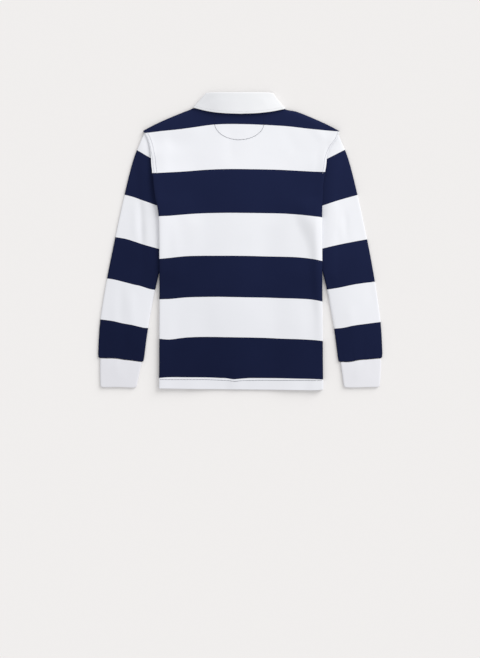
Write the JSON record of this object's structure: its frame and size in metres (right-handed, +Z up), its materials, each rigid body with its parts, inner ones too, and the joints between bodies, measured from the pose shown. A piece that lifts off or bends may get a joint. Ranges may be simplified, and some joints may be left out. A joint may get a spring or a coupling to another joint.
{
  "type": "polo shirt",
  "caption": "Child's long-sleeved polo shirt with broad stripes, a turned-down collar and plain cuffs, laid flat with its back upwards.",
  "frame": {"origin": "on the surface that the shirt lies on, under the middle of its outline", "axes": "+Z up from the surface, +Y from the hem to the collar, +X to the wearer's right, as the back lies upwards"},
  "size_m": [0.5966, 0.6243, 0.0117],
  "materials": {
    "striped_jersey": "heavy cotton jersey in broad navy and white stripes, matt",
    "rib_knit": "fine white cotton rib knit, matt",
    "white_twill": "white cotton twill, matt",
    "button": "moulded white button, satin"
  },
  "bodies": {
    "root": {"back": "striped_jersey", "front": "striped_jersey", "sleeve_left": "striped_jersey", "sleeve_right": "striped_jersey", "cuff_left": "rib_knit", "cuff_right": "rib_knit", "collar": "white_twill", "placket_over": "white_twill", "placket_under": "white_twill", "button_1": "button", "button_2": "button", "button_3": "button"}
  },
  "joints": []
}
